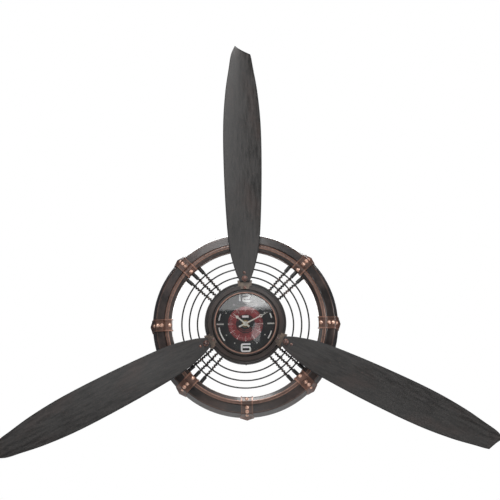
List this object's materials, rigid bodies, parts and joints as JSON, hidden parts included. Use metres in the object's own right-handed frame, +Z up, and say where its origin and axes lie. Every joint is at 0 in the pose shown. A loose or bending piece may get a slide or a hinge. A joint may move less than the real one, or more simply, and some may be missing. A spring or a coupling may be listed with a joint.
{
  "type": "propeller wall clock",
  "caption": "Large metal wall clock: twisted sheet blades on a round clock case, in front of a radial-engine cowl rim with wire rings and sprung spokes.",
  "frame": {"origin": "where the hub axis meets the wall plane, which the rear hem of the cowl wall lies on", "axes": "+Z up the top blade, +Y into the wall, +X to the right as seen from the front"},
  "size_m": [0.9979, 0.0614, 0.817],
  "materials": {
    "blade_paint": "dark grey bronze paint with fine streaks",
    "board_green": "glass fibre board",
    "bolt_dark": "dark bronze paint",
    "bracket_copper": "bronze paint rubbed to copper",
    "case_paint": "dark bronze paint",
    "cell_wrap": "plain printed wrap",
    "chip_black": "cast resin",
    "clamp_copper": "bronze paint rubbed to copper on the raised edges",
    "coil_copper": "lacquered copper wire",
    "contact_steel": "nickel plated",
    "core_steel": "soft iron",
    "dial_print": "satin black print on sheet",
    "gasket_rubber": "matte black",
    "grille_black": "satin black paint",
    "hand_white": "off-white paint",
    "hanger_steel": "zinc plated",
    "knob_plastic": "ivory moulded plastic",
    "lens_glass": "clear",
    "nut_brass": "turned brass",
    "rim_paint": "dark bronze paint with rubbed copper edges",
    "rivet_copper": "bronze paint rubbed to copper",
    "rotor_magnet": "sintered magnet",
    "shell_plastic": "black moulded plastic",
    "spacer_black": "matte black",
    "spring_black": "black paint worn to copper",
    "wheel_plastic": "white moulded plastic"
  },
  "bodies": {
    "clock_body": {"battery": "cell_wrap", "battery_contact": "contact_steel", "battery_spring": "contact_steel", "bezel": "case_paint", "blade_bolts": "bolt_dark", "blade_dome_nuts": "bolt_dark", "blade_left": "blade_paint", "blade_right": "blade_paint", "blade_rivets": "bolt_dark", "blade_top": "blade_paint", "bracket_studs": "bolt_dark", "case_back": "case_paint", "case_drum": "case_paint", "case_screws": "bolt_dark", "chip_cover": "chip_black", "circuit_board": "board_green", "clamp_rivets": "rivet_copper", "coil_core": "core_steel", "cowl_rim": "rim_paint", "cowl_wall": "rim_paint", "dial_nut": "nut_brass", "dial_plate": "dial_print", "dial_spacer": "spacer_black", "dial_washer": "nut_brass", "drive_coil": "coil_copper", "grille_frame": "rim_paint", "grille_ring_inner": "grille_black", "grille_ring_middle": "grille_black", "grille_ring_outer": "grille_black", "hanger_rivets": "bolt_dark", "lens": "lens_glass", "lens_gasket": "gasket_rubber", "movement_back": "shell_plastic", "movement_front": "shell_plastic", "quartz_crystal": "contact_steel", "rim_clamps": "clamp_copper", "root_brackets": "bracket_copper", "spoke_plugs": "grille_black", "spoke_rods": "grille_black", "spoke_springs_lower_left": "spring_black", "spoke_springs_lower_right": "spring_black", "spoke_springs_upper_left": "spring_black", "spoke_springs_upper_right": "spring_black", "stator": "core_steel", "wall_hanger": "hanger_steel"},
    "minute_work": {"centre_wheel": "nut_brass", "cannon_pinion": "nut_brass", "minute_hand": "hand_white", "hand_cap": "hand_white"},
    "hour_work": {"hour_wheel": "wheel_plastic", "hour_hand": "hand_white"},
    "reverse_work": {"minute_wheel": "wheel_plastic"},
    "setting_work": {"setting_shaft": "wheel_plastic", "setting_knob": "knob_plastic"},
    "third_work": {"third_wheel": "wheel_plastic"},
    "second_work": {"second_wheel": "wheel_plastic"},
    "rotor_work": {"rotor": "rotor_magnet"}
  },
  "joints": [
    {"name": "minute_turn", "type": "hinge", "parent": "clock_body", "child": "minute_work", "pos_m": [0, -0.027, 0], "axis": [0, 1, 0], "continuous": true},
    {"name": "hour_turn", "type": "hinge", "parent": "clock_body", "child": "hour_work", "pos_m": [0, -0.027, 0], "axis": [0, 1, 0], "continuous": true},
    {"name": "reverse_turn", "type": "hinge", "parent": "clock_body", "child": "reverse_work", "pos_m": [0.006, -0.027, 0.01039], "axis": [0, 1, 0], "continuous": true},
    {"name": "setting_turn", "type": "hinge", "parent": "clock_body", "child": "setting_work", "pos_m": [0.012, -0.027, 0.02078], "axis": [0, 1, 0], "continuous": true},
    {"name": "third_turn", "type": "hinge", "parent": "clock_body", "child": "third_work", "pos_m": [-0.00972, -0.027, 0.00561], "axis": [0, 1, 0], "continuous": true},
    {"name": "second_turn", "type": "hinge", "parent": "clock_body", "child": "second_work", "pos_m": [-0.01751, -0.027, 0.01011], "axis": [0, 1, 0], "continuous": true},
    {"name": "rotor_turn", "type": "hinge", "parent": "clock_body", "child": "rotor_work", "pos_m": [0.0145, -0.027, -0.004], "axis": [0, 1, 0], "continuous": true}
  ],
  "couplings": [
    {"joint": "hour_turn", "follows": "minute_turn", "ratio": 0.083333},
    {"joint": "reverse_turn", "follows": "minute_turn", "ratio": -0.33333},
    {"joint": "setting_turn", "follows": "minute_turn", "ratio": 1},
    {"joint": "third_turn", "follows": "minute_turn", "ratio": -7.5},
    {"joint": "second_turn", "follows": "minute_turn", "ratio": 60}
  ]
}
